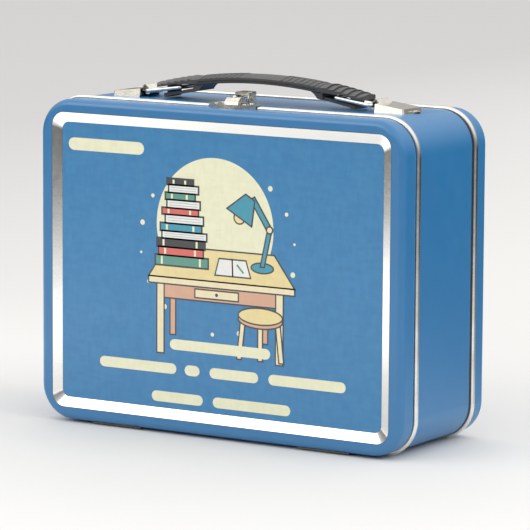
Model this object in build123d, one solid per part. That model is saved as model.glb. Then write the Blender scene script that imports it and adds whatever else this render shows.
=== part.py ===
from build123d import *
import os
from math import asin, cos, degrees, radians, sin, sqrt

os.makedirs("parts", exist_ok=True)

# A metal lunch box: a sheet-steel band closed by a fixed rear shell and a front lid that
# hinges along the bottom, a snap latch on top and a carrying handle on two wire bails.
# Millimetres. X runs across the front, Y from front (-) to rear (+), Z up.
# The origin is under the middle of the box, on the surface that its two rims stand on.

# ---- case ----
WIDTH = 216.0              # outline of the walls, across
HEIGHT = 165.9             # outline of the walls, from bottom to top
DEPTH = 83.0               # front face to rear face
CORNER = 18.0              # outline corner radius
SHEET = 0.6                # steel sheet
RIM_PROUD = 1.4            # the rims stand this far out from the walls
RIM_WIDTH = 2.9
SHELL_DEPTH = 11.6         # each pan, from its face to the rim beside it
SEAM = 0.4                 # open line between a pan or the band and the next rim
EDGE_RADIUS = 3.5          # pressed edge between a pan's wall and its face
NECK_REACH = 5.1           # how far the band's necks reach into the pans
LID_NECK_INSET = 1.4       # front neck, drawn in to clear the swinging lid
REAR_NECK_INSET = 0.65
BAND_EDGE_R = 1.3          # rounding of the band towards the rear rim
RIM_FILLET = 1.1           # leaves a narrow land for the box to stand on

BORDER = 7.6               # flat border at the sides of each face
BORDER_TOP = 6.7           # and above and below
BEVEL = 4.95               # sloping frame between the border and the sunk panel
SINK = 1.9                 # depth of the panel under the border
BEVEL_OUTER_R = 7.0
BEVEL_INNER_R = 4.0
PANEL_SHEET = 0.5          # printed panel, laid in its own pocket
PANEL_GAP = 0.1

HALF_DEPTH = DEPTH / 2
WALL_BOTTOM = RIM_PROUD
TOP = WALL_BOTTOM + HEIGHT
MIDDLE_Z = WALL_BOTTOM + HEIGHT / 2
RIM_OUTER_Y = HALF_DEPTH - SHELL_DEPTH       # face of each rim that looks at its pan
RIM_INNER_Y = RIM_OUTER_Y - RIM_WIDTH        # face of each rim that looks at the band
LID_EDGE_Y = -(RIM_OUTER_Y + SEAM)
BAND_FRONT_Y = -RIM_INNER_Y
BAND_REAR_Y = RIM_INNER_Y - SEAM

# ---- lid hinges ----
HINGE_X = 62.0             # middle of each hinge, either side
HINGE_LENGTH = 30.0
HINGE_Y = -30.8
HINGE_Z = 1.35
KNUCKLE_R = 1.3
HINGE_PIN_R = 0.65
HINGE_BORE_R = 0.7
LID_KNUCKLE = 12.0         # length of the lid's middle knuckle
KNUCKLE_GAP = 0.35
LEAF_REACH = 8.4           # from the pin to the free edge of a leaf
LEAF_Z = WALL_BOTTOM - SHEET
LEAF_RELIEF = 1.5          # leaf and wall edges stay this far from the pin's axis

# ---- rivets ----
RIVET_R = 0.75
RIVET_HOLE_R = 0.8
RIVET_HEAD_R = 1.2
RIVET_HEAD = 0.55
RIVET_TAIL = 0.4

# ---- fittings on the top wall ----
FITTINGS_X = 1.8           # the handle and the latch sit this far right of the middle

# ---- handle, heights above HANDLE_LEVEL ----
HANDLE_LEVEL = TOP - 0.5
CROWN = 15.2
CROWN_ARC_R = 264.0
GRIP_HALF_WIDTH = 8.3
GRIP_DOME_R = 22.0
GRIP_THICKNESS = 4.4
GRIP_GROOVE_DEPTH = 0.7    # hollow along the underside, at the middle of the grip
GRIP_END = 37.0
GRIP_RIBS = 8              # low ribs across each half of the grip
GRIP_RIB_START = 11.0
GRIP_RIB_PITCH = 3.2
HOOD_HALF_WIDTH = 8.2
HOOD_DOME_R = 22.0
HOOD_START = 35.6
HOOD_END = 62.0
SHINGLES = 6
SHINGLE_PITCH = 4.1
SHINGLE_TILT = 11.0        # each shingle is this much flatter than the arc it lies on
SHINGLE_SET = 0.2
HOOD_WALL = 2.0
LOWER_HALF_WIDTH = 6.2
NECK_X = 38.6
LOWER_END = 57.2
WEB_X = 53.6
WEB_THICKNESS = 2.2

# ---- bails ----
WIRE_R = 0.95
BAIL_PIVOT_X = 67.2
BAIL_PIVOT_UP = 3.6
BAIL_BRIDGE_X = 46.1
BAIL_BRIDGE_UP = 6.5
BAIL_HALF_WIDTH = 8.0
BAIL_BEND = 1.6

# ---- handle brackets ----
BRACKET_SHEET = 0.8
BRACKET_IN = 71.0
BRACKET_OUT = 86.8
BRACKET_UP_IN = 4.2
BRACKET_UP_OUT = 2.3
BRACKET_HALF_WIDTH = 9.6
BRACKET_DRAFT = 11         # lean of the cover's sides, in degrees
BARREL_HALF = 6.2
FOOT_END = 90.2
FOOT_HALF_WIDTH = 3.2
FLOOR_RIVET_X = 79.0

# ---- latch ----
LENS_HALF_LENGTH = 15.6
LENS_HALF_WIDTH = 8.5
LENS_Y = -28.5             # the split between the keeper and the latch base
LENS_SPLIT = 0.3
LENS_OVER_RIM = 1.6        # underside of the lens where it bridges the rim, above the wall
LENS_SHEET = 0.6
LENS_EDGE = 0.8            # raised edge around the dished middle
LENS_DISH = 0.35
LENS_RIVET_X = 8.2
LENS_RIVET_Y = 3.4         # from the split
ARCH_HALF_WIDTH = 4.1
ARCH_SHEET = 0.7
ARCH_FRONT_Y = -21.3
ARCH_REAR_Y = -14.3
ARCH_UP = 7.3
ARCH_FOOT_UP = 0.25
ARCH_HEEL_R = 3.4
LATCH_PIN_Y = -17.8
LATCH_PIN_UP = 3.9
LATCH_PIN_R = 0.6
LATCH_BORE_R = 0.65
EAR_OUT = 3.0
EAR_SHEET = 0.8
EAR_R = 1.6
NOSE_HALF_WIDTH = 4.0

FACING_REAR = dict(x_dir=(1, 0, 0), z_dir=(0, 1, 0))


# ---- building blocks ----
def outline_block(inset, y_from, y_to):
    """The case's rounded outline, drawn in by inset, as a block between two depths."""
    outline = RectangleRounded(WIDTH - 2 * inset, HEIGHT - 2 * inset, CORNER - inset)
    plane = Plane(origin=(0, y_from, MIDDLE_Z), **FACING_REAR)
    return extrude(plane * outline, y_to - y_from)


def outline_ring(inset, thickness, y_from, y_to):
    """A hoop of the case's outline."""
    return outline_block(inset, y_from, y_to) - outline_block(inset + thickness, y_from, y_to)


def front_edges(block):
    """The edges of a block's foremost face."""
    return block.faces().sort_by(Axis.Y)[0].edges()


def side_profile(points, half_width, y=0):
    """An X-Z outline given as corner points, extruded to both sides of y."""
    face = make_face(Polyline(*points, close=True))
    return Pos(0, y, 0) * extrude(Plane.XZ * face, half_width, both=True)


def block(x, y, z):
    """A rectangular block between two corners, given as (low, high) on each axis."""
    size = [limits[1] - limits[0] for limits in (x, y, z)]
    centre = [(limits[1] + limits[0]) / 2 for limits in (x, y, z)]
    return Pos(*centre) * Box(*size)


def upright(radius, x, y, z_from, z_to):
    """An upright cylinder."""
    return Pos(x, y, (z_from + z_to) / 2) * Cylinder(radius, z_to - z_from)


def crosswise(radius, length, x, y, z):
    """A cylinder along X, centred at the point."""
    return Pos(x, y, z) * Rot(0, 90, 0) * Cylinder(radius, length)


def both_sides(shape):
    """A right-hand shape and its mirror image on the left."""
    return [shape, mirror(shape, about=Plane.YZ)]


def on_top(shape):
    """Moves a fitting of the top wall from the box's middle to where the fittings sit."""
    return Pos(FITTINGS_X, 0, 0) * shape


def rivet(x, y, z_seat, z_inside):
    """A rivet with a domed head on z_seat and a flat tail against the far sheet at z_inside."""
    up = 1 if z_seat > z_inside else -1
    head = fillet(Cylinder(RIVET_HEAD_R, RIVET_HEAD).edges().group_by(Axis.Z)[-1], RIVET_HEAD * 0.8)
    turn = Rot(0, 0 if up > 0 else 180, 0)
    placed_head = Pos(x, y, z_seat + up * RIVET_HEAD / 2) * turn * head
    shank = upright(RIVET_R, x, y, min(z_seat, z_inside), max(z_seat, z_inside))
    tail_end = z_inside - up * RIVET_TAIL
    tail = upright(RIVET_HEAD_R, x, y, min(z_inside, tail_end), max(z_inside, tail_end))
    return placed_head + shank + tail


def rivet_holes(places, z_from, z_to):
    """The clearance holes for rivets at the given places."""
    return [upright(RIVET_HOLE_R, x, y, z_from, z_to) for x, y in places]


# ---- where the rivets go ----
# those of the fittings are given from the fittings' own middle
KEEPER_RIVETS = [(side * LENS_RIVET_X, LENS_Y - LENS_RIVET_Y) for side in (-1, 1)]
BASE_RIVETS = [(side * LENS_RIVET_X, LENS_Y + LENS_RIVET_Y) for side in (-1, 1)]
FOOT_RIVET_X = BRACKET_OUT + RIVET_HEAD_R + 0.1
FOOT_RIVETS = [(side * FOOT_RIVET_X, 0) for side in (-1, 1)]
FLOOR_RIVETS = [(side * FLOOR_RIVET_X, 0) for side in (-1, 1)]
LEAF_RIVET_Y = LEAF_REACH - 2.4
HINGE_RIVET_XS = [side * HINGE_X + step for side in (-1, 1) for step in (-9, 9)]
LID_LEAF_RIVETS = [(x, HINGE_Y - LEAF_RIVET_Y) for x in HINGE_RIVET_XS]
BODY_LEAF_RIVETS = [(x, HINGE_Y + LEAF_RIVET_Y + SHEET) for x in HINGE_RIVET_XS]
INSIDE_TOP = TOP - SHEET
INSIDE_BOTTOM = WALL_BOTTOM + SHEET


# ---- case ----
def side_band():
    """The band around the middle, joggled in at both edges to make the two necks."""
    web_front = (BAND_FRONT_Y, BAND_FRONT_Y + SHEET)
    web_rear = (BAND_REAR_Y - SHEET, BAND_REAR_Y)
    band = outline_block(0, BAND_FRONT_Y, BAND_REAR_Y)
    band = fillet(band.faces().sort_by(Axis.Y)[-1].edges(), BAND_EDGE_R)
    band -= outline_block(SHEET, web_front[1], web_rear[0])
    band -= outline_block(LID_NECK_INSET + SHEET, *web_front)
    band -= outline_block(REAR_NECK_INSET + SHEET, *web_rear)
    band += outline_ring(LID_NECK_INSET, SHEET, -(RIM_OUTER_Y + NECK_REACH), web_front[1])
    band += outline_ring(REAR_NECK_INSET, SHEET, web_rear[0], RIM_OUTER_Y + NECK_REACH)
    half = HINGE_LENGTH / 2 + 0.5
    for side in (-1, 1):
        middle = side * HINGE_X
        notch_y = (-(RIM_OUTER_Y + NECK_REACH) - 1, HINGE_Y + KNUCKLE_R + KNUCKLE_GAP)
        band -= block((middle - half, middle + half), notch_y, (0, 2 * LID_NECK_INSET + 2))
    top_rivets = BASE_RIVETS + FOOT_RIVETS + FLOOR_RIVETS
    band -= [on_top(hole) for hole in rivet_holes(top_rivets, INSIDE_TOP - 1, TOP + 1)]
    band -= rivet_holes(BODY_LEAF_RIVETS, 0, INSIDE_BOTTOM + 1)
    return band


def rim(inset):
    """A rolled bead around the case, rounded outside and let onto the neck by inset."""
    bead = outline_block(-RIM_PROUD, RIM_INNER_Y, RIM_OUTER_Y)
    ends = bead.faces().sort_by(Axis.Y)
    bead = fillet(ends[0].edges() + ends[-1].edges(), RIM_FILLET)
    return bead - outline_block(inset, RIM_INNER_Y, RIM_OUTER_Y)


def front_rim():
    """The front bead, relieved underneath where the two hinges pass."""
    bead = mirror(rim(LID_NECK_INSET - 0.05), about=Plane.XZ)
    half = HINGE_LENGTH / 2 + 0.5
    for side in (-1, 1):
        middle = side * HINGE_X
        bead -= block((middle - half, middle + half), (-RIM_OUTER_Y - 1, -RIM_INNER_Y + 1),
                      (-1, WALL_BOTTOM + 0.05))
        bead -= crosswise(KNUCKLE_R + KNUCKLE_GAP, 2 * half, middle, HINGE_Y, HINGE_Z)
    return bead


def rear_rim():
    """The rear bead."""
    return rim(REAR_NECK_INSET - 0.05)


def panel_outline(grow, radius):
    """The sunk panel's outline, grown outwards."""
    across = WIDTH - 2 * (BORDER + BEVEL) + 2 * grow
    upwards = HEIGHT - 2 * (BORDER_TOP + BEVEL) + 2 * grow
    return RectangleRounded(across, upwards, radius)


def sunk_panel():
    """The space in front of the sunk panel, with its sloping sides."""
    front = Plane(origin=(0, -HALF_DEPTH, MIDDLE_Z), **FACING_REAR)
    floor = Plane(origin=(0, -HALF_DEPTH + SINK, MIDDLE_Z), **FACING_REAR)
    mouth = front * panel_outline(BEVEL, BEVEL_OUTER_R)
    return loft([mouth, floor * panel_outline(0, BEVEL_INNER_R)])


def pan(edge_y, pocket):
    """A pressed pan with a sunk panel, facing forwards. pocket is the extra depth of the
    straight-sided pocket for a separate panel."""
    outside = outline_block(0, -HALF_DEPTH, edge_y)
    outside = fillet(front_edges(outside), EDGE_RADIUS)
    hollow = outline_block(SHEET, -HALF_DEPTH + SHEET, edge_y)
    hollow = fillet(front_edges(hollow), EDGE_RADIUS - SHEET)
    sunk = sunk_panel()
    behind = Pos(0, SHEET, 0) * sunk
    if pocket:
        floor = Plane(origin=(0, -HALF_DEPTH + SINK, MIDDLE_Z), **FACING_REAR)
        sunk += extrude(floor * panel_outline(0, BEVEL_INNER_R), pocket)
        behind += extrude(floor * panel_outline(SHEET, BEVEL_INNER_R + SHEET), pocket + SHEET)
    return outside - sunk - (hollow - behind)


def lid_shell():
    """The front pan, notched at the bottom edge for the hinge knuckles."""
    shell = pan(LID_EDGE_Y, PANEL_SHEET)
    half = HINGE_LENGTH / 2 + 0.5
    for side in (-1, 1):
        middle = side * HINGE_X
        shell -= block((middle - half, middle + half), (HINGE_Y - LEAF_RELIEF, LID_EDGE_Y + 1), (0, 3))
    shell -= [on_top(hole) for hole in rivet_holes(KEEPER_RIVETS, INSIDE_TOP - 1, TOP + 1)]
    shell -= rivet_holes(LID_LEAF_RIVETS, 0, INSIDE_BOTTOM + 1)
    return shell


def rear_shell():
    """The rear pan, fixed to the band."""
    return mirror(pan(-RIM_OUTER_Y, 0), about=Plane.XZ)


def art_panel():
    """The printed plate that lies in the lid's pocket."""
    floor = Plane(origin=(0, -HALF_DEPTH + SINK, MIDDLE_Z), **FACING_REAR)
    return extrude(floor * panel_outline(-PANEL_GAP, BEVEL_INNER_R - PANEL_GAP), PANEL_SHEET)


# ---- lid hinges ----
def knuckle(x_from, x_to):
    """A rolled knuckle around the hinge pin, along X."""
    middle = (x_from + x_to) / 2
    length = x_to - x_from
    tube = crosswise(KNUCKLE_R, length, middle, HINGE_Y, HINGE_Z)
    return tube, crosswise(HINGE_BORE_R, length + 1, middle, HINGE_Y, HINGE_Z)


def body_leaf():
    """The right-hand hinge leaf under the band, with a knuckle at each end."""
    low, high = HINGE_X - HINGE_LENGTH / 2, HINGE_X + HINGE_LENGTH / 2
    leaf = block((low, high), (HINGE_Y, HINGE_Y + LEAF_REACH), (LEAF_Z, WALL_BOTTOM))
    window = LID_KNUCKLE / 2 + KNUCKLE_GAP
    leaf -= block((HINGE_X - window, HINGE_X + window), (HINGE_Y - 1, HINGE_Y + LEAF_RELIEF + 0.4), (0, 2))
    for x_from, x_to in ((low, HINGE_X - window), (HINGE_X + window, high)):
        tube, bore = knuckle(x_from, x_to)
        leaf = leaf + tube - bore
    return leaf - rivet_holes(BODY_LEAF_RIVETS, 0, 2)


def lid_leaf():
    """The right-hand hinge leaf under the lid, with one knuckle in the middle."""
    low, high = HINGE_X - HINGE_LENGTH / 2, HINGE_X + HINGE_LENGTH / 2
    leaf = block((low, high), (HINGE_Y - LEAF_REACH, HINGE_Y - LEAF_RELIEF - 0.2), (LEAF_Z, WALL_BOTTOM))
    half = LID_KNUCKLE / 2
    tongue_y = (HINGE_Y - LEAF_RELIEF - 1, HINGE_Y)
    leaf += block((HINGE_X - half, HINGE_X + half), tongue_y, (LEAF_Z, WALL_BOTTOM))
    tube, bore = knuckle(HINGE_X - half, HINGE_X + half)
    return leaf + tube - bore - rivet_holes(LID_LEAF_RIVETS, 0, 2)


def hinge_pin():
    """The right-hand hinge pin."""
    return crosswise(HINGE_PIN_R, HINGE_LENGTH, HINGE_X, HINGE_Y, HINGE_Z)


# ---- handle ----
def crown_up(x):
    """Height of the handle's crown line above the top wall."""
    return CROWN - CROWN_ARC_R + sqrt(CROWN_ARC_R**2 - x**2)


def dome_section(half_width, radius, floor):
    """A section across the handle: arched top with its crown at 0, straight sides, flat floor."""
    shoulder = sqrt(radius**2 - half_width**2) - radius
    arch = ThreePointArc((-half_width, shoulder), (0, 0), (half_width, shoulder))
    right = [(half_width, shoulder), (half_width, floor)]
    sides = Polyline(*right, (-half_width, floor), (-half_width, shoulder))
    return make_face(arch + sides)


def grip_section():
    """The section across the grip: a gently arched top, a groove along each side and a lip under it."""
    shoulder = sqrt(GRIP_DOME_R**2 - GRIP_HALF_WIDTH**2) - GRIP_DOME_R
    arch = ThreePointArc((-GRIP_HALF_WIDTH, shoulder), (0, 0), (GRIP_HALF_WIDTH, shoulder))
    side = [(0, shoulder), (0, -2.7), (-0.6, -2.9), (-0.6, -3.3), (-0.15, -3.5), (-0.15, -3.9),
            (-0.65, -GRIP_THICKNESS)]
    right = [(GRIP_HALF_WIDTH + step, down) for step, down in side]
    left = [(-across, down) for across, down in reversed(right)]
    return make_face(arch + Polyline(*right, *left))


def along_crown(x, drop, tilt):
    """A plane across the handle at x, drop below the crown, facing outwards and down by tilt."""
    facing = (cos(radians(tilt)), 0, -sin(radians(tilt)))
    return Plane(origin=(x, 0, HANDLE_LEVEL + crown_up(x) - drop), x_dir=(0, 1, 0), z_dir=facing)


def crown_slope(x):
    """Slope of the crown line, in degrees."""
    return degrees(asin(x / CROWN_ARC_R))


def grip_bar():
    """The middle of the handle, curved along the crown arc and hollowed underneath."""
    centre = Axis((0, 0, HANDLE_LEVEL + CROWN - CROWN_ARC_R), (0, 1, 0))
    sweep_angle = 2 * degrees(asin(GRIP_END / CROWN_ARC_R))
    bar = revolve(Pos(0, 0, HANDLE_LEVEL + CROWN) * (Plane.YZ * grip_section()), centre, sweep_angle)
    return bar.rotate(centre, -sweep_angle / 2)


def grip_ribs():
    """The low ribs across the right-hand half of the grip, each a thin slice of a raised crown."""
    section = dome_section(GRIP_HALF_WIDTH - 0.3, GRIP_DOME_R, -2)
    ribs = []
    for index in range(GRIP_RIBS):
        start = GRIP_RIB_START + index * GRIP_RIB_PITCH
        plane = along_crown(start, -0.22, crown_slope(start))
        ribs.append(extrude(plane * section, 1.3))
    return ribs


def grip_groove():
    """The shallow hollow along the underside of the grip."""
    half_length = GRIP_END - 11
    roof = CROWN - GRIP_THICKNESS + GRIP_GROOVE_DEPTH
    hollow = block((-half_length, half_length), (2.4 - GRIP_HALF_WIDTH, GRIP_HALF_WIDTH - 2.4),
                   (HANDLE_LEVEL + roof - 3, HANDLE_LEVEL + roof))
    return fillet(hollow.edges().filter_by(Axis.Z), 3)


def hood():
    """The ribbed right-hand end of the handle, as overlapping shingles over a hollow."""
    section = dome_section(HOOD_HALF_WIDTH, HOOD_DOME_R, -6)
    shingled_from = HOOD_END - SHINGLES * SHINGLE_PITCH
    first = along_crown(HOOD_START, 0.35, crown_slope(HOOD_START))
    ribs = extrude(first * section, shingled_from - HOOD_START + 0.6)
    for index in range(SHINGLES):
        start = shingled_from + index * SHINGLE_PITCH
        tilt = crown_slope(start + SHINGLE_PITCH / 2) - SHINGLE_TILT
        ribs += extrude(along_crown(start - 0.5, SHINGLE_SET, tilt) * section, SHINGLE_PITCH + 0.5)
    plan_length = 2 * HOOD_END
    plan = extrude(Plane.XY.offset(TOP) * RectangleRounded(plan_length, 2 * HOOD_HALF_WIDTH, 4), 2 * CROWN)
    hollow = dome_section(HOOD_HALF_WIDTH - 1.4, HOOD_DOME_R, -6)
    mean_slope = crown_slope((NECK_X + HOOD_END) / 2)
    inside = extrude(along_crown(NECK_X, HOOD_WALL, mean_slope) * hollow, HOOD_END - NECK_X + 3)
    edge = [(HOOD_START - 4, 9.4), (NECK_X, 8.6), (BAIL_BRIDGE_X, 8.0), (50, 8.0), (57, 6.5), (66, 5.0)]
    under = [(66, -2), (HOOD_START - 4, -2)]
    below = side_profile([(x, HANDLE_LEVEL + up) for x, up in edge + under], 2 * HOOD_HALF_WIDTH)
    return (ribs & plan) - inside - below


def lower_arm():
    """The arm under the hood: neck, sloping plate and the web that keeps the bail in."""
    tip = LOWER_END
    plate = [(NECK_X - 2.2, 6.8), (tip - 0.6, 3.0), (tip, 2.4), (tip - 0.4, 1.0), (tip - 2.1, 1.0),
             (tip - 3.1, 1.8), (35.4, 5.3)]
    arm = side_profile([(x, HANDLE_LEVEL + up) for x, up in plate], LOWER_HALF_WIDTH)
    inner = ThreePointArc((26.5, CROWN - 5.3), (32.2, 8.5), (35.4, 5.3))
    outer = Polyline((35.4, 5.3), (NECK_X, 4.8), (NECK_X, 9.4), (36.5, 11.6), (26.5, CROWN - 3.8),
                     (26.5, CROWN - 5.3))
    face = make_face(inner + outer)
    neck = Pos(0, 0, HANDLE_LEVEL) * extrude(Plane.XZ * face, LOWER_HALF_WIDTH + 1, both=True)
    web = [(WEB_X, 2.2), (WEB_X, 7.9), (WEB_X + WEB_THICKNESS, 7.6), (WEB_X + WEB_THICKNESS, 2.2)]
    return arm + neck + side_profile([(x, HANDLE_LEVEL + up) for x, up in web], 5)


def handle_grip():
    """The moulded handle: grip, two hoods and the arms under them."""
    grip = grip_bar()
    for piece in (hood(), lower_arm(), *grip_ribs()):
        for shape in both_sides(piece):
            grip += shape
    return grip - grip_groove()


def bail():
    """The right-hand bail: a closed rectangular loop of wire, its outer bar in the barrel."""
    run = BAIL_PIVOT_X - BAIL_BRIDGE_X
    rise = BAIL_BRIDGE_UP - BAIL_PIVOT_UP
    length = sqrt(run**2 + rise**2)
    pivot = (BAIL_PIVOT_X, 0, HANDLE_LEVEL + BAIL_PIVOT_UP)
    flat = Plane(origin=pivot, x_dir=(-run, 0, rise), z_dir=(rise, 0, run))
    loop = flat * (Pos(length / 2, 0) * RectangleRounded(length, 2 * BAIL_HALF_WIDTH, BAIL_BEND))
    path = loop.faces()[0].outer_wire()
    start = path.edges().sort_by(Axis.X)[-1]
    section = Plane(origin=start @ 0.5, z_dir=start % 0.5) * Circle(WIRE_R)
    return sweep(section, path=path)


# ---- handle brackets ----
def drafted_cover(inset):
    """The bracket cover's space, drawn in by inset: sides that lean inwards and a sloping top."""
    low, high = BRACKET_IN - 8, BRACKET_OUT - inset
    plan = Pos((low + high) / 2, 0) * Rectangle(high - low, 2 * (BRACKET_HALF_WIDTH - inset))
    space = extrude(Plane.XY.offset(TOP) * plan, 2 * BRACKET_UP_IN, taper=BRACKET_DRAFT)
    if not inset:
        space = fillet(space.faces().sort_by(Axis.X)[-1].edges().filter_by(Axis.X, reverse=True)
                       .filter_by(Axis.Y, reverse=True), 1.2)
    slope = (BRACKET_UP_IN - BRACKET_UP_OUT) / (BRACKET_OUT - BRACKET_IN)
    start = BRACKET_IN - 1 if not inset else BRACKET_IN - 2
    top = [(x, TOP + BRACKET_UP_IN - slope * (x - BRACKET_IN) - inset) for x in (start, BRACKET_OUT + 1)]
    return space & side_profile([(start, TOP), *top, (BRACKET_OUT + 1, TOP)], 20)


def bracket():
    """The right-hand bracket: a wedge cover with a rolled barrel at its inner end and a foot."""
    cover = drafted_cover(0) - drafted_cover(BRACKET_SHEET)
    foot_y = (-FOOT_HALF_WIDTH, FOOT_HALF_WIDTH)
    foot = block((FLOOR_RIVET_X - 3, FOOT_END), foot_y, (TOP, TOP + BRACKET_SHEET))
    foot = fillet(foot.edges().filter_by(Axis.Z).sort_by(Axis.X)[-2:], 2.2)
    shape = cover + foot + barrel() - barrel_hollow()
    right_holes = [place for place in FOOT_RIVETS + FLOOR_RIVETS if place[0] > 0]
    return shape - rivet_holes(right_holes, TOP - 1, TOP + BRACKET_SHEET + 0.2)


def rolled(rolls, half_length):
    """The hull of three rolls given as (x, height above HANDLE_LEVEL, radius), along Y."""
    rings = [Pos(x, HANDLE_LEVEL + up) * Circle(radius) for x, up, radius in rolls]
    edges = [edge for ring in rings for edge in ring.edges()]
    return extrude(Plane.XZ * make_hull(edges), half_length, both=True)


def barrel():
    """The rolled barrel's outer shape: around the wire, up to a ridge and back to the cover."""
    wire = (BAIL_PIVOT_X, BAIL_PIVOT_UP, WIRE_R + 0.8)
    return rolled([wire, (BAIL_PIVOT_X + 1.7, 5.9, 0.9), (BRACKET_IN, 3.7, 0.7)], BARREL_HALF)


def barrel_hollow():
    """The space inside the barrel, wider than the wire."""
    wire = (BAIL_PIVOT_X, BAIL_PIVOT_UP, WIRE_R + 0.1)
    return rolled([wire, (BAIL_PIVOT_X + 1.7, 5.8, 0.3), (BRACKET_IN - 0.9, 3.8, 0.3)], BARREL_HALF + 1)


# ---- latch ----
def lens_outline(inset):
    """The pointed oval that the keeper and the latch base make together."""
    tip = LENS_HALF_LENGTH - 2 * inset
    bulge = LENS_HALF_WIDTH - inset
    front = ThreePointArc((-tip, 0), (0, -bulge), (tip, 0))
    rear = ThreePointArc((tip, 0), (0, bulge), (-tip, 0))
    return Pos(0, LENS_Y) * make_face(front + rear)


def lens():
    """The whole dished oval, bridging the rim."""
    upper = LENS_OVER_RIM + LENS_SHEET
    plate = extrude(Plane.XY.offset(TOP) * lens_outline(0), upper)
    plate -= extrude(Plane.XY.offset(TOP + upper - LENS_DISH) * lens_outline(LENS_EDGE), 1)
    bridged = (-(RIM_OUTER_Y + 0.45), -(RIM_INNER_Y - 0.3))
    return plate - block((-20, 20), bridged, (TOP - 1, TOP + LENS_OVER_RIM))


def keeper_plate():
    """The front half of the oval, fixed to the lid, with the catch nose on it."""
    plate = lens() & block((-20, 20), (-45, LENS_Y - LENS_SPLIT / 2), (TOP, TOP + 10))
    nose = [(-31.6, 1.5), (-31.2, 3.2), (-29.0, 5.0), (-24.6, 5.0), (-23.6, 4.0), (-23.6, 2.4),
            (-28.8, 2.4), (-29.2, 1.5)]
    tongue = [(-26, 2.4), (-26, 3.4), (-21.4, 3.4), (-21.4, 4.2), (-20.6, 4.2), (-20.6, 2.4)]
    for outline, half_width in ((nose, NOSE_HALF_WIDTH), (tongue, 2.4)):
        face = make_face(Polyline(*[(y, TOP + up) for y, up in outline], close=True))
        solid = extrude(Plane.YZ * face, half_width, both=True)
        if outline is nose:
            solid = fillet(solid.edges().filter_by(Axis.X).sort_by(Axis.Z)[-2:], 0.9)
        plate += solid
    plate += Pos(-0.6, -27.2, TOP + 5) * Sphere(1.1)
    return plate - rivet_holes(KEEPER_RIVETS, TOP - 1, TOP + 3)


def latch_base():
    """The rear half of the oval, fixed to the band, with two ears that hold the pin."""
    plate = lens() & block((-20, 20), (LENS_Y + LENS_SPLIT / 2, 0), (TOP, TOP + 10))
    plate -= block((-ARCH_HALF_WIDTH - 0.5, ARCH_HALF_WIDTH + 0.5), (-23.5, 0), (TOP - 1, TOP + 10))
    plate += block((-EAR_OUT, EAR_OUT), (-24.2, ARCH_REAR_Y - 0.6), (TOP, TOP + LENS_SHEET))
    for side in (-1, 1):
        middle = side * (EAR_OUT - EAR_SHEET / 2)
        plate += crosswise(EAR_R, EAR_SHEET, middle, LATCH_PIN_Y, TOP + LATCH_PIN_UP)
        ear_x = (middle - EAR_SHEET / 2, middle + EAR_SHEET / 2)
        plate += block(ear_x, (LATCH_PIN_Y - EAR_R, LATCH_PIN_Y + EAR_R), (TOP, TOP + LATCH_PIN_UP))
    plate -= crosswise(LATCH_BORE_R, 2 * ARCH_HALF_WIDTH, 0, LATCH_PIN_Y, TOP + LATCH_PIN_UP)
    return plate - rivet_holes(BASE_RIVETS, TOP - 1, TOP + 3)


def latch_lever():
    """The arched lever that swings up and back on the pin."""
    crown = TOP + ARCH_UP
    outline = block((-ARCH_HALF_WIDTH, ARCH_HALF_WIDTH), (ARCH_FRONT_Y, ARCH_REAR_Y),
                    (TOP + ARCH_FOOT_UP, crown))
    heel = outline.edges().filter_by(Axis.X).group_by(Axis.Y)[-1].sort_by(Axis.Z)[0]
    arch = fillet(heel, ARCH_HEEL_R)
    arch = fillet(arch.faces().sort_by(Axis.Z)[-1].edges().filter_by(Axis.Y), 0.6)
    inner = ARCH_HALF_WIDTH - ARCH_SHEET
    arch -= block((-inner, inner), (ARCH_FRONT_Y - 1, ARCH_REAR_Y + 1), (TOP - 1, crown - ARCH_SHEET))
    arch += block((-inner, inner), (ARCH_FRONT_Y, ARCH_FRONT_Y + ARCH_SHEET), (crown - 1.6, crown - 0.1))
    return arch - crosswise(LATCH_BORE_R, 3 * ARCH_HALF_WIDTH, 0, LATCH_PIN_Y, TOP + LATCH_PIN_UP)


def latch_pin():
    """The pin through the ears and the lever's sides, with a small head at each end."""
    pin = crosswise(LATCH_PIN_R, 2 * ARCH_HALF_WIDTH + 0.8, 0, LATCH_PIN_Y, TOP + LATCH_PIN_UP)
    for side in (-1, 1):
        pin += crosswise(1.0, 0.3, side * (ARCH_HALF_WIDTH + 0.45), LATCH_PIN_Y, TOP + LATCH_PIN_UP)
    return pin


# ---- rivets ----
def rivets(places, z_seat, z_inside):
    """Rivets at the given places, as separate solids."""
    return [rivet(x, y, z_seat, z_inside) for x, y in places]


# ---- write every node ----
dish_up = TOP + LENS_OVER_RIM + LENS_SHEET - LENS_DISH
body_leaf_right, body_leaf_left = both_sides(body_leaf())
lid_leaf_right, lid_leaf_left = both_sides(lid_leaf())
bracket_right, bracket_left = both_sides(bracket())
bail_right, bail_left = both_sides(bail())

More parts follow.
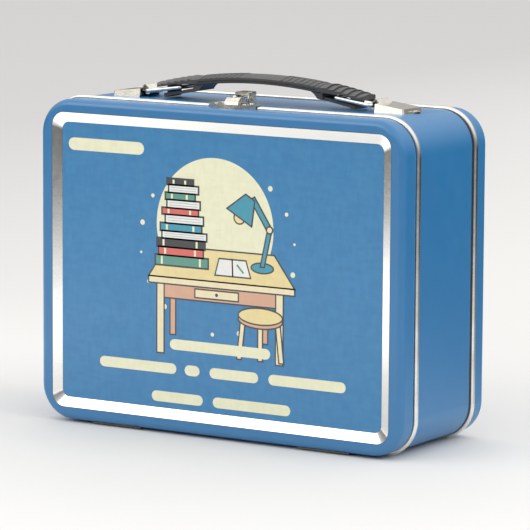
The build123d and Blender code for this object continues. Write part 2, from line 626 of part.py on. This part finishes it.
nodes = {
    "side_band": side_band(),
    "front_rim": front_rim(),
    "rear_rim": rear_rim(),
    "rear_shell": rear_shell(),
    "lid_shell": lid_shell(),
    "art_panel": art_panel(),
    "hinge_leaf_body_left": body_leaf_left,
    "hinge_leaf_body_right": body_leaf_right,
    "hinge_leaf_lid_left": lid_leaf_left,
    "hinge_leaf_lid_right": lid_leaf_right,
    "hinge_pins": both_sides(hinge_pin()),
    "hinge_rivets_body": rivets(BODY_LEAF_RIVETS, LEAF_Z, INSIDE_BOTTOM),
    "hinge_rivets_lid": rivets(LID_LEAF_RIVETS, LEAF_Z, INSIDE_BOTTOM),
}
fittings = {
    "handle_grip": [handle_grip()],
    "bail_left": [bail_left],
    "bail_right": [bail_right],
    "handle_bracket_left": [bracket_left],
    "handle_bracket_right": [bracket_right],
    "bracket_rivets": rivets(FOOT_RIVETS + FLOOR_RIVETS, TOP + BRACKET_SHEET, INSIDE_TOP - 0.05),
    "keeper_plate": [keeper_plate()],
    "keeper_rivets": rivets(KEEPER_RIVETS, dish_up, INSIDE_TOP),
    "latch_base": [latch_base()],
    "latch_base_rivets": rivets(BASE_RIVETS, dish_up, INSIDE_TOP),
    "latch_lever": [latch_lever()],
    "latch_pin": [latch_pin()],
}
for name, shapes in fittings.items():
    nodes[name] = [on_top(shape) for shape in shapes]

for name, shape in nodes.items():
    solid = Compound(children=shape) if isinstance(shape, list) else shape
    export_step(solid, f"parts/{name}.step")
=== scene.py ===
import math

import bpy
from mathutils import Euler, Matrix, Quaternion, Vector


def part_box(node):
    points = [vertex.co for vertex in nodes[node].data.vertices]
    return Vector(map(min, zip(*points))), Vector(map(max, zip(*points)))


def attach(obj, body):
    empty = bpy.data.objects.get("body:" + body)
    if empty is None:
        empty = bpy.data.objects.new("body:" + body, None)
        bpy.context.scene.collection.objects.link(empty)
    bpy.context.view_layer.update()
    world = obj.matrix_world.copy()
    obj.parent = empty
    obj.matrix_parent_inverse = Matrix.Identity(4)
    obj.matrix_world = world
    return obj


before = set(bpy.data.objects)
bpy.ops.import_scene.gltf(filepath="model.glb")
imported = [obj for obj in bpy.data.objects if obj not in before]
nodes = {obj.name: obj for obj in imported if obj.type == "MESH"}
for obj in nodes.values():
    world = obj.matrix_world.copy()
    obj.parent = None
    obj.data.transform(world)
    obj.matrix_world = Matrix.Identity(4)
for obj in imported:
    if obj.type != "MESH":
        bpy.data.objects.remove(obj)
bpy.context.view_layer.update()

MM = 0.001

scene = bpy.context.scene


# ---- the case's main sizes, read from the frame ----
lid_low, lid_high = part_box("lid_shell")
HALF_WIDTH = lid_high.x
MIDDLE_Z = (lid_low.z + lid_high.z) / 2
HALF_HEIGHT = lid_high.z - MIDDLE_Z
PANEL_FRONT_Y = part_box("art_panel")[0].y

BORDER_SIDE = 7.6 * MM         # painted border between the walls and the bare frame
BORDER_TOP = 6.7 * MM
FRAME_WIDTH = 4.95 * MM        # bare sloping frame
FRAME_OUTER_R = 7 * MM
FRAME_INNER_R = 4 * MM
NECK_Y = 27.2 * MM             # the band's bare necks start here, front and rear
GROOVE_SHADE_Y = 25.1 * MM           # the painted shade beside the rear rim starts here


# ---- materials ----
class Surface:
    """A Principled material with short calls for the nodes that it uses."""

    def __init__(self, name, **sockets):
        self.material = bpy.data.materials.new(name)
        self.material.use_nodes = True
        self.tree = self.material.node_tree
        self.shader = next(n for n in self.tree.nodes if n.type == "BSDF_PRINCIPLED")
        coordinates = self.tree.nodes.new("ShaderNodeTexCoord").outputs
        self.coordinates, self.normal = coordinates["Object"], coordinates["Normal"]
        for label, value in sockets.items():
            self.set(label.replace("_", " ").title().replace("Ior", "IOR"), value)

    def feed(self, socket, value):
        """Links a node's output, or sets a plain value."""
        if isinstance(value, bpy.types.NodeSocket):
            self.tree.links.new(value, socket)
        else:
            socket.default_value = value

    def set(self, label, value):
        """Feeds one of the shader's sockets."""
        self.feed(self.shader.inputs[label], value)

    def math(self, operation, a, b=0.0):
        """A Math node."""
        node = self.tree.nodes.new("ShaderNodeMath")
        node.operation = operation
        self.feed(node.inputs[0], a)
        self.feed(node.inputs[1], b)
        return node.outputs[0]

    def parts(self, vector):
        """The three numbers of a vector."""
        node = self.tree.nodes.new("ShaderNodeSeparateXYZ")
        self.feed(node.inputs[0], vector)
        return node.outputs

    def stretched(self, scale):
        """Object coordinates, scaled on each axis."""
        node = self.tree.nodes.new("ShaderNodeMapping")
        self.feed(node.inputs["Vector"], self.coordinates)
        node.inputs["Scale"].default_value = scale
        return node.outputs[0]

    def noise(self, scale, detail=2.0, stretch=None):
        """Noise from 0 to 1, with features of about 1/scale metres."""
        node = self.tree.nodes.new("ShaderNodeTexNoise")
        self.feed(node.inputs["Vector"], self.stretched(stretch) if stretch else self.coordinates)
        node.inputs["Scale"].default_value = scale
        node.inputs["Detail"].default_value = detail
        return node.outputs[0]

    def between(self, value, low, high, to_low=0.0, to_high=1.0, smooth=False):
        """Maps low..high to to_low..to_high, clamped."""
        node = self.tree.nodes.new("ShaderNodeMapRange")
        node.interpolation_type = "SMOOTHSTEP" if smooth else "LINEAR"
        self.feed(node.inputs["Value"], value)
        limits = {"From Min": low, "From Max": high, "To Min": to_low, "To Max": to_high}
        for label, number in limits.items():
            node.inputs[label].default_value = number
        return node.outputs[0]

    def mix(self, factor, a, b):
        """Mixes two colours."""
        node = self.tree.nodes.new("ShaderNodeMix")
        node.data_type = "RGBA"
        self.feed(node.inputs["Factor"], factor)
        self.feed(node.inputs[6], a)
        self.feed(node.inputs[7], b)
        return node.outputs[2]

    def bump(self, height, distance, strength=1.0, under=None):
        """A Bump node, on top of another where under is given."""
        node = self.tree.nodes.new("ShaderNodeBump")
        node.inputs["Strength"].default_value = strength
        node.inputs["Distance"].default_value = distance
        self.feed(node.inputs["Height"], height)
        if under is not None:
            self.feed(node.inputs["Normal"], under)
        return node.outputs[0]

    def rounded_rectangle(self, half_width, half_height, radius):
        """Distance outside a rounded rectangle in the X-Z plane around the case's middle."""
        x, _, z = self.parts(self.coordinates)
        across = self.math("SUBTRACT", self.math("ABSOLUTE", x), half_width - radius)
        upward = self.math("ABSOLUTE", self.math("SUBTRACT", z, MIDDLE_Z))
        upward = self.math("SUBTRACT", upward, half_height - radius)
        outside_x = self.math("MAXIMUM", across, 0.0)
        outside_z = self.math("MAXIMUM", upward, 0.0)
        square_x = self.math("POWER", outside_x, 2.0)
        squares = self.math("ADD", square_x, self.math("POWER", outside_z, 2.0))
        inside = self.math("MINIMUM", self.math("MAXIMUM", across, upward), 0.0)
        return self.math("SUBTRACT", self.math("ADD", self.math("SQRT", squares), inside), radius)


def srgb(red, green, blue):
    """A colour given as 0..255 screen values."""
    def linear(value):
        value /= 255
        return value / 12.92 if value <= 0.04045 else ((value + 0.055) / 1.055) ** 2.4
    return (linear(red), linear(green), linear(blue), 1)


PAINT_BLUE = srgb(18, 116, 174)
PAINT_BLUE_DEEP = srgb(14, 110, 167)
# colour of the thin dark lines: a darker line at the print's edge, and painted shade beside the rear
# rim
DARK_LINE_AND_SHADE = srgb(24, 52, 76)
STEEL = srgb(246, 245, 242)
STEEL_WARM = srgb(226, 222, 213)
TIN = srgb(236, 235, 231)


def painted_steel(name, facing, bare, dark_line_and_shade=None):
    """Baked blue paint outside and bare tinplate inside. facing weighs the directions in which
    the outer side faces away from the case's middle. bare and dark_line_and_shade are functions
    of the surface that give the factor of bare steel outside and of a thin dark line; on the band
    this line is painted shade in the groove at the rear rim."""
    s = Surface(name, ior=1.62, specular_ior_level=0.8)
    away = s.tree.nodes.new("ShaderNodeVectorMath")
    away.operation = "MULTIPLY"
    centre = s.tree.nodes.new("ShaderNodeVectorMath")
    centre.operation = "SUBTRACT"
    s.feed(centre.inputs[0], s.coordinates)
    centre.inputs[1].default_value = (0, 0, MIDDLE_Z)
    s.feed(away.inputs[0], centre.outputs[0])
    away.inputs[1].default_value = facing
    dot = s.tree.nodes.new("ShaderNodeVectorMath")
    dot.operation = "DOT_PRODUCT"
    s.feed(dot.inputs[0], s.normal)
    s.feed(dot.inputs[1], away.outputs[0])
    inner_side = s.between(dot.outputs["Value"], 0.0, 0.002, 1.0, 0.0)
    metal = s.math("MAXIMUM", inner_side, bare(s))
    grain = s.noise(900, 3)
    mottle = s.noise(45, 4)
    paint = s.mix(mottle, PAINT_BLUE, PAINT_BLUE_DEEP)
    # the thin dark line: on the lid a darker line at the print's edge, on the band painted shade
    # beside the rear rim
    if dark_line_and_shade is not None:
        paint = s.mix(dark_line_and_shade(s), paint, DARK_LINE_AND_SHADE)
    tin = s.mix(s.noise(60, 3, (1, 1, 4)), STEEL, TIN)
    s.set("Base Color", s.mix(metal, paint, tin))
    s.set("Metallic", metal)
    paint_roughness = s.between(s.noise(120, 3), 0.3, 0.7, 0.3, 0.38)
    tin_roughness = s.between(s.noise(300, 4), 0.3, 0.7, 0.12, 0.17)
    tin_roughness = s.math("ADD", tin_roughness, s.math("MULTIPLY", inner_side, 0.2))
    rough = s.tree.nodes.new("ShaderNodeMix")
    s.feed(rough.inputs["Factor"], metal)
    s.feed(rough.inputs[2], paint_roughness)
    s.feed(rough.inputs[3], tin_roughness)
    s.set("Roughness", rough.outputs[0])
    dents = s.bump(s.noise(18, 1), 0.0006, 0.5)
    s.set("Normal", s.bump(grain, 0.00002, 0.35, dents))
    return s.material


def bare_frame(s):
    """The sloping frame around the front panel, left bare when the lid was printed."""
    outer = s.rounded_rectangle(HALF_WIDTH - BORDER_SIDE, HALF_HEIGHT - BORDER_TOP, FRAME_OUTER_R)
    return s.between(outer, -0.00005, 0.00005, 1.0, 0.0)


def bare_rear_frame(s):
    """The same frame at the rear, around a painted panel."""
    half_width = HALF_WIDTH - BORDER_SIDE - FRAME_WIDTH
    half_height = HALF_HEIGHT - BORDER_TOP - FRAME_WIDTH
    inner = s.rounded_rectangle(half_width, half_height, FRAME_INNER_R)
    return s.math("MULTIPLY", bare_frame(s), s.between(inner, -0.00005, 0.00005))


def print_edge(s):
    """A thin darker line where the blue print stops at the bare frame."""
    outer = s.rounded_rectangle(HALF_WIDTH - BORDER_SIDE, HALF_HEIGHT - BORDER_TOP, FRAME_OUTER_R)
    fading = s.between(outer, 0.0003, 0.0004, 0.75, 0.0)
    return s.math("MULTIPLY", fading, s.between(outer, -0.0001, 0.0))


def bare_necks(s):
    """The band's two necks, beyond the rims."""
    depth = s.math("ABSOLUTE", s.parts(s.coordinates)[1])
    return s.between(depth, NECK_Y, NECK_Y + 0.1 * MM)


def painted_rear_groove_shade(s):
    """Painted shade: a dark strip on the band's rear edge, where the groove beside the rear rim falls
    in shadow.
    """
    return s.between(s.parts(s.coordinates)[1], GROOVE_SHADE_Y, GROOVE_SHADE_Y + 0.4 * MM)


def metal(name, light, dark, roughness, grain):
    """A bare or plated metal with fine uneven polish."""
    s = Surface(name, metallic=1.0)
    polish = s.noise(grain, 4)
    s.set("Base Color", s.mix(s.between(polish, 0.3, 0.7), light, dark))
    uneven = s.noise(grain * 2.3, 3)
    s.set("Roughness", s.between(uneven, 0.25, 0.75, roughness * 0.8, roughness * 1.25))
    s.set("Normal", s.bump(s.noise(grain * 4, 2), 0.00001, 0.6))
    return s.material


def moulded_plastic():
    """Dark moulded plastic with a fine spark-eroded grain."""
    s = Surface("grip_plastic", specular_ior_level=0.5)
    s.set("Base Color", s.mix(s.noise(70, 4), srgb(70, 69, 69), srgb(86, 85, 85)))
    s.set("Roughness", s.between(s.noise(500, 3), 0.3, 0.7, 0.36, 0.5))
    s.set("Normal", s.bump(s.noise(2600, 3), 0.00006, 0.5))
    return s.material


def printed(name, colour, shade):
    """Ink printed on the panel, with the panel's fine linen grain."""
    s = Surface(name, ior=1.62, specular_ior_level=0.8)
    weave = s.math("ADD", s.noise(420, 3, (0.35, 1, 1)), s.noise(420, 3, (1, 1, 0.35)))
    s.set("Base Color", s.mix(s.between(weave, 0.8, 1.2), colour, shade))
    s.set("Roughness", s.between(s.noise(160, 3), 0.3, 0.7, 0.32, 0.42))
    s.set("Normal", s.bump(weave, 0.00005, 0.6))
    return s.material


def dress(names, material):
    """Gives a material to carried-over CAD nodes."""
    for name in names:
        mesh = nodes[name].data
        mesh.materials.clear()
        mesh.materials.append(material)


def dress_cad():
    """Materials for every CAD node."""
    dress(["lid_shell"], painted_steel("lid_paint", (0.2, 3.0, 0.2), bare_frame, print_edge))
    dress(["rear_shell"], painted_steel("rear_paint", (0.2, 3.0, 0.2), bare_rear_frame))
    # the band's dark strip at the rear rim is painted shade
    dress(["side_band"], painted_steel("band_paint", (1.0, 0.0, 1.0), bare_necks, painted_rear_groove_shade))
    dress(["art_panel"], printed("panel_print", srgb(18, 118, 174), srgb(32, 126, 180)))
    bright = metal("rolled_steel", STEEL, STEEL_WARM, 0.2, 90)
    dress(["front_rim", "rear_rim"], bright)
    # Painted shade: the hinges get a dark steel colour so that they pass for the shadow under the
    # lid's front edge.
    hinge_shade_dark = metal("hinge_steel_painted_shade", srgb(122, 120, 116), srgb(104, 101, 96), 0.34, 160)
    dress([n for n in nodes if n.startswith("hinge")], hinge_shade_dark)
    plated = metal("nickel_plate", srgb(240, 236, 226), srgb(222, 216, 204), 0.13, 240)
    dress([n for n in nodes if n.startswith(("handle_bracket", "bracket"))], plated)
    satin = metal("satin_nickel", srgb(246, 243, 235), srgb(214, 206, 190), 0.24, 420)
    dress([n for n in nodes if n.startswith(("latch", "keeper"))], satin)
    wire = metal("plated_wire", srgb(246, 243, 236), srgb(228, 223, 212), 0.12, 300)
    dress(["bail_left", "bail_right"], wire)
    dress(["handle_grip"], moulded_plastic())


# ---- the picture printed on the front ----
INK = "ink"
INK_STEP = 0.02 * MM           # each level of the picture stands this far before the last
INK_DEPTH = 0.05 * MM          # each shape reaches this far into the panel
INKS = {
    "cream": (240, 239, 205),
    "wood": (238, 219, 156),
    "wood_edge": (243, 230, 190),
    "wood_shade": (219, 170, 140),
    "teal": (50, 152, 176),
    "ink": (42, 46, 52),
    "paper": (240, 240, 236),
    "page_shade": (196, 197, 196),
    "green": (84, 152, 134),
    "coral": (222, 100, 94),
}


class Picture:
    """Flat inked shapes on the front panel, each a thin closed prism. A higher level covers a lower
    one. Points are (x, z) in mm from the middle of the panel."""

    def __init__(self):
        self.shapes = {name: ([], []) for name in INKS}

    def solid(self, level, ink, rings):
        """A prism of one outline, or between an outline and the one inside it."""
        front, back = PANEL_FRONT_Y - (level + 1) * INK_STEP, PANEL_FRONT_Y + INK_DEPTH
        points, faces = self.shapes[ink]
        start, count = len(points), len(rings[0])
        for ring in rings:
            for y in (front, back):
                points += [(x * MM, y, MIDDLE_Z + z * MM) for x, z in ring]
        steps = [(i, (i + 1) % count) for i in range(count)]
        faces += [(start + i, start + i + count, start + j + count, start + j) for i, j in steps]
        if len(rings) == 1:
            faces.append(tuple(range(start, start + count)))
            faces.append(tuple(reversed(range(start + count, start + 2 * count))))
            return
        inner = start + 2 * count
        for i, j in steps:
            faces.append((inner + j, inner + j + count, inner + i + count, inner + i))
            faces.append((start + i, start + j, inner + j, inner + i))
            faces.append((start + j + count, start + i + count, inner + i + count, inner + j + count))

    def fill(self, level, ink, points):
        """A filled outline."""
        self.solid(level, ink, [anticlockwise(points)])

    def shape(self, level, ink, points, width=0.75):
        """A filled outline inside a dark line."""
        points = anticlockwise(points)
        inside = shifted(points, width / 2)
        self.solid(level, INK, [shifted(points, -width / 2), inside])
        self.solid(level, ink, [inside])

    def line(self, level, ink, start, end, width):
        """A straight line with square ends."""
        run = Vector(end) - Vector(start)
        side = Vector((-run.y, run.x)).normalized() * width / 2
        a, b = Vector(start), Vector(end)
        self.fill(level, ink, [tuple(a - side), tuple(b - side), tuple(b + side), tuple(a + side)])

    def build(self):
        """One piece of the lid for each ink."""
        for ink, (points, faces) in self.shapes.items():
            mesh = bpy.data.meshes.new("print_" + ink)
            mesh.from_pydata(points, [], faces)
            colour = INKS[ink]
            shade = [0.975 * c for c in colour]
            mesh.materials.append(printed("print_" + ink, srgb(*colour), srgb(*shade)))
            piece = bpy.data.objects.new("print_" + ink, mesh)
            scene.collection.objects.link(piece)
            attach(piece, "lid")


def anticlockwise(points):
    """The points in anticlockwise order, seen from the front."""
    area = sum(a[0] * b[1] - b[0] * a[1] for a, b in zip(points, points[1:] + points[:1]))
    return list(points) if area > 0 else list(reversed(points))


def shifted(points, distance):
    """An anticlockwise outline moved inwards by distance, with mitred corners."""
    moved = []
    for i, point in enumerate(points):
        before = (Vector(point) - Vector(points[i - 1])).normalized()
        after = (Vector(points[(i + 1) % len(points)]) - Vector(point)).normalized()
        inwards = Vector((-before.y - after.y, before.x + after.x)).normalized()
        reach = distance / max(0.4, inwards.dot(Vector((-before.y, before.x))))
        moved.append((point[0] + inwards.x * reach, point[1] + inwards.y * reach))
    return moved


def disc(x, z, radius, tall=None, count=28, start=0, sweep=360):
    """Points round a circle or an ellipse, or part of one."""
    tall = radius if tall is None else tall
    steps = count if sweep == 360 else count + 1
    angles = [math.radians(start + sweep * i / count) for i in range(steps)]
    return [(x + radius * math.cos(a), z + tall * math.sin(a)) for a in angles]


def bar(low_x, high_x, z, height):
    """A bar with round ends."""
    r = height / 2
    return (disc(high_x - r, z, r, count=6, start=-90, sweep=180)
            + disc(low_x + r, z, r, count=6, start=90, sweep=180))


def draw_desk(p):
    """A plain desk, seen from the front and a little above."""
    for x in (-29, 26):
        p.shape(1, "wood_shade", [(x, -8), (x, -33), (x + 3.4, -33), (x + 3.4, -8)])
    p.shape(2, "wood_shade", [(-37, -7), (38, -7), (38, -14.5), (-37, -14.5)])
    for x in (-37, 34):
        p.shape(3, "wood_edge", [(x, -7), (x, -43), (x + 4.4, -43), (x + 4.4, -7)])
    p.shape(3, "wood_edge", [(-14, -8.6), (12, -8.6), (12, -13), (-14, -13)])
    p.fill(4, INK, disc(-1, -10.8, 0.9, count=12))
    p.shape(4, "wood", [(-42, -4), (45, -4), (33, 12), (-31, 12)])
    p.shape(4, "wood_edge", [(-42, -4), (45, -4), (45, -7.4), (-42, -7.4)])


def draw_stool(p):
    """A round stool in front of the desk."""
    for low, high in ((15, 12.5), (25, 25), (35, 37.5)):
        foot = [(high - 1.4, -42), (high + 1.4, -42)]
        p.shape(5, "wood_edge", [(low - 1.4, -20), *foot, (low + 1.4, -20)])
    p.shape(6, "wood_shade", disc(25, -21.4, 13, 4.2, count=36))
    p.shape(7, "wood", disc(25, -19.4, 13, 4.2, count=36))


def draw_lamp(p):
    """A desk lamp with a cone shade."""
    p.shape(5, "teal", disc(26, 5, 6.6, 2.6))
    p.shape(6, "teal", [(24.8, 5.6), (27.2, 5.6), (31.4, 24), (29, 24.6)])
    p.shape(7, "teal", [(28.8, 23.6), (31.4, 25.2), (21.2, 40.4), (18.8, 38.8)])
    p.shape(8, "wood_edge", disc(30.2, 24.4, 1.8, count=14))
    p.shape(5, "wood", disc(12.4, 29.4, 3.2, count=20))
    p.shape(8, "teal", [(16, 41.4), (21.4, 38.4), (19.6, 25.4), (5, 33.6)])


def draw_books(p):
    """A tall, uneven pile of plain closed books, some spine first and some pages first."""
    pile = [
        (-38, -6, 5.2, "green"), (-36, -9, 4.2, "coral"), (-37, -8, 4.4, "ink"),
        (-34, -7, 3.8, "paper"), (-35, -10, 4.0, "teal"), (-32, -9, 4.4, "paper"),
        (-34, -12, 3.4, "coral"), (-31, -11, 4.2, "paper"), (-32, -14, 3.6, "green"),
        (-30, -12, 4.0, "paper"), (-31, -15, 3.2, "ink"),
    ]
    z = 2.0
    for low_x, high_x, height, cover in pile:
        top = z + height
        p.shape(5, cover, [(low_x, z), (high_x, z), (high_x, top), (low_x, top)], 0.9)
        if cover == "paper":
            for part in (0.35, 0.65):
                level_z = z + part * height
                p.line(6, "page_shade", (low_x + 1.5, level_z), (high_x - 1.5, level_z), 0.35)
        else:
            for x in (low_x + 4, high_x - 5):
                p.line(6, "cream", (x, z + 0.6), (x, z + height - 0.6), 1.2)
        z = top


def draw_notebook(p):
    """An open notebook and a pencil on the desk."""
    p.shape(5, "paper", [(-2, -0.6), (8.6, -0.6), (8.2, 8), (0.4, 8)])
    p.shape(5, "paper", [(8.6, -0.6), (19.2, -0.6), (16.4, 8), (8.2, 8)])
    p.line(6, "green", (11, 5.6), (15, 1.6), 1.0)


def draw_picture():
    """A generic study desk on a cream disc, with plain bars where lettering would go."""
    p = Picture()
    p.fill(0, "cream", disc(-2.4, 23.5, 34.8, count=96))
    for step in (0, 1, 2, 7, 8, 9, 10, 11, 13, 14, 16, 17):
        angle, size = math.radians(20 * step + 7), 0.7 + 0.35 * (step % 3)
        p.fill(0, "cream", disc(46 * math.cos(angle) - 1, 13 + 44 * math.sin(angle), size, count=12))
    draw_desk(p)
    draw_books(p)
    draw_notebook(p)
    draw_lamp(p)
    draw_stool(p)
    p.fill(1, "cream", bar(-91.5, -45, 60.2, 6.4))
    lines = {
        -38: [(-29, 31)],
        -50.6: [(-72, -25), (-20, -11), (-5, 24), (30, 75)],
        -65.4: [(-40, -9), (-3, 43)],
    }
    for z, bars in lines.items():
        for low_x, high_x in bars:
            p.fill(8, "cream", bar(low_x, high_x, z, 5.4))
    p.build()


# ---- stage ----
def level_square(name, side, z):
    """A level square around the box."""
    mesh = bpy.data.meshes.new(name)
    half = side / 2
    corners = [(-half, -half, 0), (half, -half, 0), (half, half, 0), (-half, half, 0)]
    mesh.from_pydata(corners, [], [(0, 1, 2, 3)])
    shape = bpy.data.objects.new(name, mesh)
    shape.location = (0, 0, z)
    scene.collection.objects.link(shape)
    return shape


def make_floor():
    """A pale floor with painted light and shade: lighter far behind the box and a little darker at
    the back left.
    """
    floor = level_square("floor", 14, 0)
    s = Surface("pale_floor", roughness=0.7, specular_ior_level=0.2)
    pale = s.mix(s.noise(3, 3), srgb(234, 233, 231), srgb(231, 230, 228))
    x, y, _ = s.parts(s.coordinates)
    # painted shade: darker at the back left
    back_left_shade = s.math("MULTIPLY", s.between(x, -1.0, 0.0, 1.0, 0.0), s.between(y, 0.0, 0.4))
    # painted light: lighter far behind the box
    pale = s.mix(s.between(y, 0.3, 1.6), pale, srgb(251, 251, 249))
    s.set("Base Color", s.mix(back_left_shade, pale, srgb(218, 217, 216)))
    floor.data.materials.append(s.material)


def make_painted_reflection_card():
    """Painted reflection: a glowing card that only glossy rays see, dimmer with distance from the
    box, so that the metal and the gloss see a darker room past the lit floor.
    """
    card = level_square("painted_reflection_card", 13, 0.5 * MM)
    s = Surface("painted_reflection_card")
    s.tree.nodes.remove(s.shader)
    x, y, _ = s.parts(s.coordinates)
    away = s.math("SQRT", s.math("ADD", s.math("POWER", x, 2.0), s.math("POWER", y, 2.0)))
    glow = s.tree.nodes.new("ShaderNodeEmission")
    near = s.between(away, 0.25, 1.15, 1.1, 0.14, smooth=True)
    near = s.math("MULTIPLY", near, s.between(x, -0.25, 0.15, 1.6, 1.0, smooth=True))
    behind = s.between(y, -0.1, 0.35, 1.0, 0.25, smooth=True)
    s.feed(glow.inputs["Strength"], s.math("MULTIPLY", near, behind))
    blend = s.tree.nodes.new("ShaderNodeMixShader")
    clear = s.tree.nodes.new("ShaderNodeBsdfTransparent")
    beside = s.math("MULTIPLY", s.between(x, 0.112, 0.16), s.between(y, -0.08, 0.02))
    s.feed(blend.inputs[0], s.math("MAXIMUM", s.between(away, 0.16, 0.4, smooth=True), beside))
    s.tree.links.new(clear.outputs[0], blend.inputs[1])
    s.tree.links.new(glow.outputs[0], blend.inputs[2])
    output = next(n for n in s.tree.nodes if n.type == "OUTPUT_MATERIAL")
    s.tree.links.new(blend.outputs[0], output.inputs["Surface"])
    card.data.materials.append(s.material)
    card.visible_camera = False
    card.visible_diffuse = False
    card.visible_shadow = False
    card.visible_transmission = False


def make_camera():
    """A long lens from the right front, a little above the box."""
    data = bpy.data.cameras.new("camera")
    data.sensor_width = 36
    data.lens = 252.8
    data.clip_start = 0.05
    data.clip_end = 50
    camera = bpy.data.objects.new("camera", data)
    yaw, pitch, roll = 32.20, 8.06, 0.345
    camera.location = (1.0025, -1.5878, 0.3503)
    aim = Euler((math.radians(90 - pitch), 0, math.radians(yaw))).to_quaternion()
    camera.rotation_mode = "QUATERNION"
    camera.rotation_quaternion = aim @ Quaternion((0, 0, 1), math.radians(roll))
    scene.collection.objects.link(camera)
    scene.camera = camera


def area_light(name, place, target, size, power):
    """A soft rectangular light aimed at a point."""
    data = bpy.data.lights.new(name, "AREA")
    data.shape = "RECTANGLE"
    data.size, data.size_y = size
    data.energy = power
    light = bpy.data.objects.new(name, data)
    light.location = place
    light.rotation_mode = "QUATERNION"
    light.rotation_quaternion = (Vector(target) - Vector(place)).to_track_quat("-Z", "Y")
    scene.collection.objects.link(light)
    return light


def make_light():
    """A pale sky that darkens towards the horizon, a soft key light at the front left and a fill
    at the right that reflections don't show."""
    world = bpy.data.worlds.new("studio")
    world.use_nodes = True
    scene.world = world
    tree = world.node_tree
    background = next(n for n in tree.nodes if n.type == "BACKGROUND")
    background.inputs["Color"].default_value = (1.0, 0.995, 0.985, 1)
    split = tree.nodes.new("ShaderNodeSeparateXYZ")
    tree.links.new(tree.nodes.new("ShaderNodeTexCoord").outputs["Generated"], split.inputs[0])
    ramp = tree.nodes.new("ShaderNodeMapRange")
    tree.links.new(split.outputs["Z"], ramp.inputs["Value"])
    limits = {"From Min": 0.05, "From Max": 0.6, "To Min": 0.22, "To Max": 1.15}
    for label, number in limits.items():
        ramp.inputs[label].default_value = number
    tree.links.new(ramp.outputs[0], background.inputs["Strength"])
    area_light("key", (-1.0, -1.6, 1.15), (0, 0, 0.1), (1.6, 1.1), 8)
    fill = area_light("fill", (1.6, 0.1, 1.3), (0, 0, 0.08), (1.2, 1.2), 10)
    fill.visible_glossy = False


scene.view_settings.view_transform = "Standard"
dress_cad()
draw_picture()
make_floor()
make_painted_reflection_card()
make_camera()
make_light()
